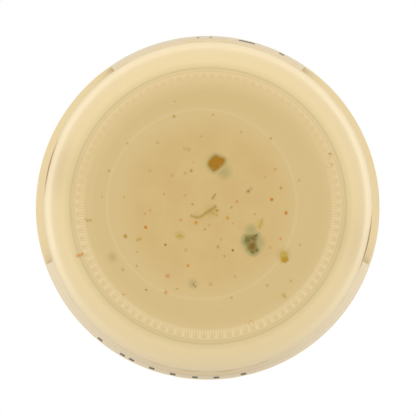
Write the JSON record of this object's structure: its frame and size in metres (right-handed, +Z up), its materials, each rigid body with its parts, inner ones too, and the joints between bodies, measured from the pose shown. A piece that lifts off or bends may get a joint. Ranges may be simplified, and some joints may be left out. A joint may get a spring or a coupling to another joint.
{
  "type": "queso jar",
  "caption": "Round clear glass jar that widens upwards, filled with cheese dip, with a front and a back paper label and a twist-off steel lid.",
  "frame": {"origin": "middle of the base, in the plane that the jar stands on", "axes": "+Z is up along the jar's axis towards the lid, and -Y is the side of the front label"},
  "size_m": [0.0864, 0.0864, 0.1085],
  "materials": {
    "jar_glass": "polished",
    "queso": "satin",
    "label_paper": "satin",
    "lid_enamel": "gloss"
  },
  "bodies": {
    "root": {"jar": "jar_glass", "queso": "queso", "label_front": "label_paper", "label_back": "label_paper", "lid": "lid_enamel"}
  },
  "joints": []
}
